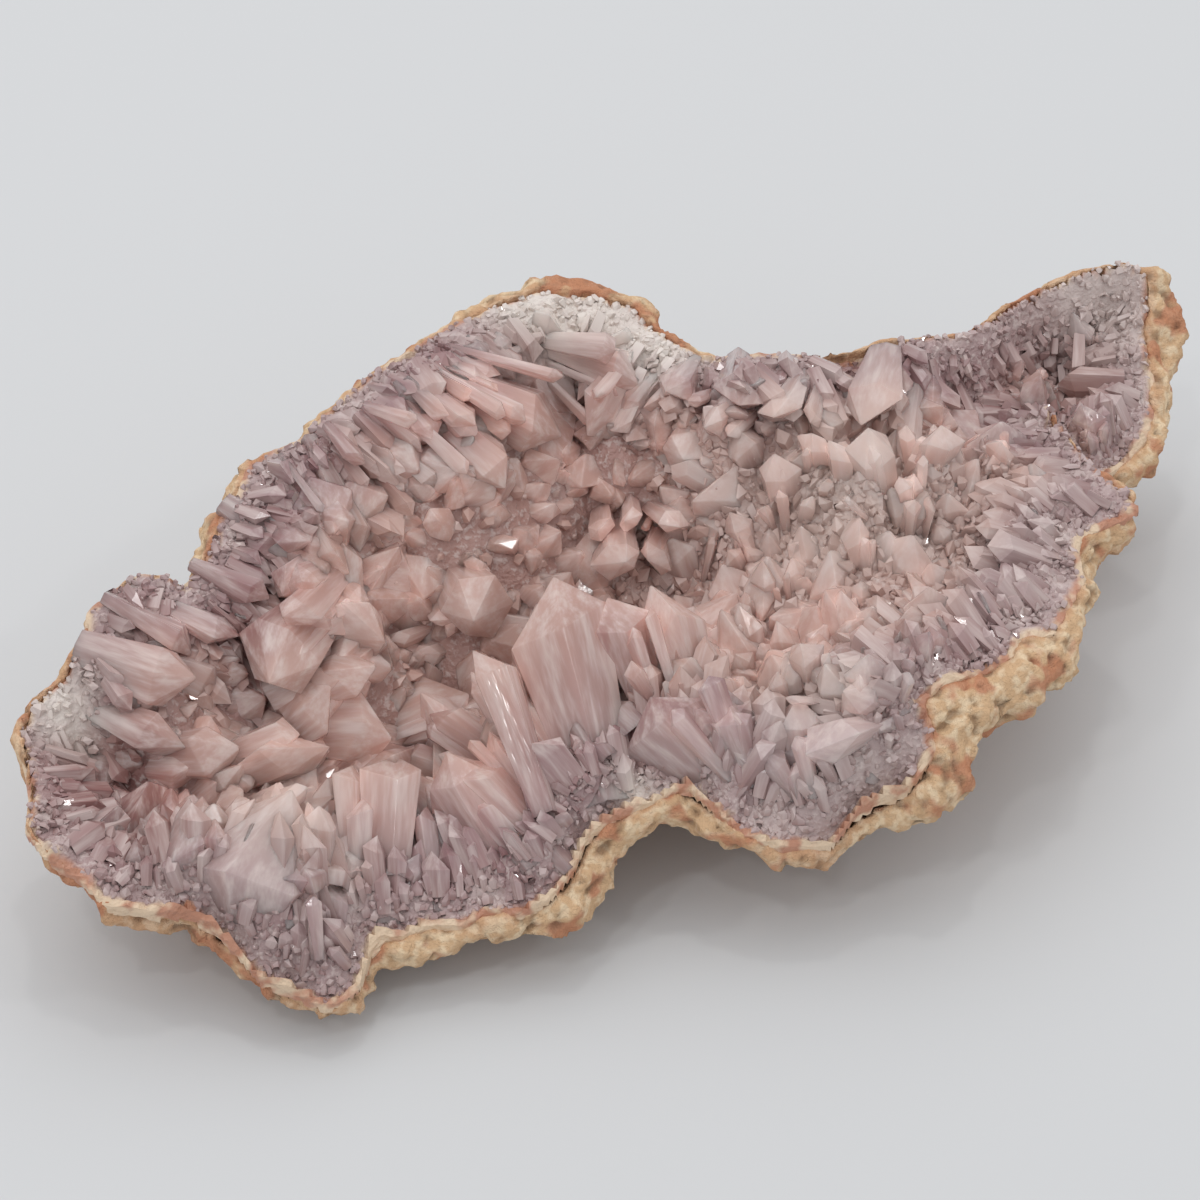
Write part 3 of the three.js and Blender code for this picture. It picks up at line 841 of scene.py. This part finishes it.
def crystalFinish(name, roughness, kind, milky=0, ribbed=False):
    # Kinds: streaked along the crystal, sugary ground, and fine, each crystal of its own tint.
    look = crystalLook
    finish = Finish(name)
    body = finish.mix(finish.painted("peach"), look["mauve"], look["peach"])
    body = finish.mix(finish.painted("frost") * look["frosted"], body, look["frost"])
    # Painted shade: darker towards each crystal's foot, on the ground deep between the large ones,
    # and in the hollows and dark pockets.
    foot = 1 - finish.between(finish.painted("up"), 0, 0.9)
    body = finish.mix(foot * look["footShade"], body, look["shadeTone"])
    body = finish.mix(finish.painted("pocketShade") * look["pocketShaded"], body, look["shadeTone"])
    body = finish.mix(finish.painted("chalk") * look["chalked"], body, look["chalk"])
    if kind == "streaked":
        streaks = finish.noise(0.55, 3, vector=finish.painted("grain", "Vector"))
        veins = finish.between(streaks, 0.35, 0.8) * look["streaked"]
        body = finish.mix(veins, body, look["frost"])
        if ribbed:
            finish.shine(Normal=finish.bump(streaks, 0.3, 0.4 * mm))
        finish.shine(
            Subsurface_Weight=milky,
            Subsurface_Radius=look["scatterColour"],
            Subsurface_Scale=look["scatterDepth"],
        )
        finish.shader.subsurface_method = "BURLEY"
    elif kind == "sugary":
        sugar = finish.noise(900, 2)
        grains = finish.between(sugar, 0.5, 0.65) * look["sugared"]
        body = finish.mix(grains, body, look["frost"])
        patches = finish.between(finish.noise(220, 2), 0.42, 0.58)
        edging = finish.mix(patches, look["crust"], look["rust"])
        body = finish.mix(finish.painted("seam") * look["edged"], body, edging)
        finish.shine(Normal=finish.bump(sugar, 0.9, 0.6 * mm))
    else:
        paler = finish.between(finish.painted("tint"), 0.4, 1) * look["tinted"]
        body = finish.mix(paler, body, look["frost"])
    finish.shine(Base_Color=body, Roughness=roughness, IOR=look["index"])
    return finish.material


rindPaint = {
    "cream": colour(234, 209, 176),
    "sand": colour(214, 179, 142),
    "rust": colour(190, 128, 98),
    # painted shade in the pits of the rind
    "pit": colour(116, 88, 70),
    "rusted": 0.85,  # how strongly each covers
    "pitShaded": 0.6,
    "rustLine": (2.4, 4),  # the rust along the rim fades out between these, in mm
    "bump": 0.8 * mm,
    "roughness": 0.95,
}


def rindFinish():
    look = rindPaint
    finish = Finish("creamRind")
    broad = finish.noise(150, 2)
    fine = finish.between(finish.noise(600, 1), 0.4, 0.65)
    body = finish.mix(fine, look["sand"], look["cream"])
    body = finish.mix(finish.between(broad, 0.51, 0.62) * look["rusted"], body, look["rust"])
    line = 1 - finish.between(finish.painted("toRim") + broad * 4, *look["rustLine"])
    body = finish.mix(line * (0.1 + broad * 0.55), body, look["rust"])
    # Painted shade: the pits are darker the deeper they are.
    pits = finish.between(finish.painted("hollow"), 0, 0.9)
    body = finish.mix(pits * look["pitShaded"], body, look["pit"])
    finish.shine(
        Base_Color=body,
        Roughness=look["roughness"],
        Specular_IOR_Level=0.1,
        Normal=finish.bump(finish.noise(1000, 3, 0.7), 1.0, look["bump"]),
    )
    return finish.material


fineAmethyst = crystalFinish("fineAmethyst", 0.08, "fine")
for obj, material in (
    (crustGround, crystalFinish("sugaryAmethyst", 0.4, "sugary")),
    (largeOnes, crystalFinish("pinkAmethyst", 0.12, "streaked", milky=0.85, ribbed=True)),
    (druse["wallCrystals"], crystalFinish("mauveAmethyst", 0.14, "streaked")),
    (druse["stoutCrystals"], crystalFinish("milkyAmethyst", 0.12, "streaked", milky=0.85)),
    (druse["druseCrystals"], fineAmethyst),
    (druse["fineDruse"], fineAmethyst),
):
    obj.data.materials.append(material)
    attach(obj, "root")
    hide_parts("crystal_crust")
rindStone.data.materials.append(rindFinish())
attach(rindStone, "root")
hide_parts("rind")
print("finishes")


# Floor and light: pale paper under a large soft lamp and a few small bright ones.
studio = {
    "paper": colour(207, 208, 209),
    "halfSide": 3.0,  # of the paper, m
    "lamp": (-0.15, 0.35, 0.9),
    "lampSize": (1.3, 1.1),
    "lampPower": 3.4,  # W
    "glints": ((-0.5, -0.5, 0.8), (0.7, -0.1, 0.75), (0, 0.2, 1), (-0.2, -0.4, 0.95)),
    "glintSize": (0.06, 0.06),
    "glintPower": 0.5,
    "room": (0.97, 0.98, 1, 1),  # colour and strength of the light from all round
    "roomStrength": 0.73,
}


def buildFloor():
    half = studio["halfSide"]
    corners = [(-half, -half, 0), (half, -half, 0), (half, half, 0), (-half, half, 0)]
    floor = addMesh("paperFloor", corners, [(0, 1, 2, 3)])
    finish = Finish("palePaper")
    finish.shine(Base_Color=studio["paper"], Roughness=0.9, Specular_IOR_Level=0)
    floor.data.materials.append(finish.material)


def addLamp(name, at, size, power):
    # An oblong lamp that shines on the middle of the floor.
    lamp = bpy.data.lights.new(name, "AREA")
    lamp.shape = "RECTANGLE"
    lamp.size, lamp.size_y = size
    lamp.energy = power
    obj = bpy.data.objects.new(name, lamp)
    obj.location = at
    obj.rotation_euler = (-Vector(at)).to_track_quat("-Z", "Y").to_euler()
    bpy.context.collection.objects.link(obj)


buildFloor()
addLamp("overhead", studio["lamp"], studio["lampSize"], studio["lampPower"])
for at in studio["glints"]:
    addLamp("glint", at, studio["glintSize"], studio["glintPower"])
room = bpy.data.worlds.new("room")
room.use_nodes = True
background = room.node_tree.nodes["Background"]
background.inputs["Color"].default_value = studio["room"]
background.inputs["Strength"].default_value = studio["roomStrength"]
bpy.context.scene.world = room
bpy.context.scene.view_settings.view_transform = "Standard"
print("floor and light")
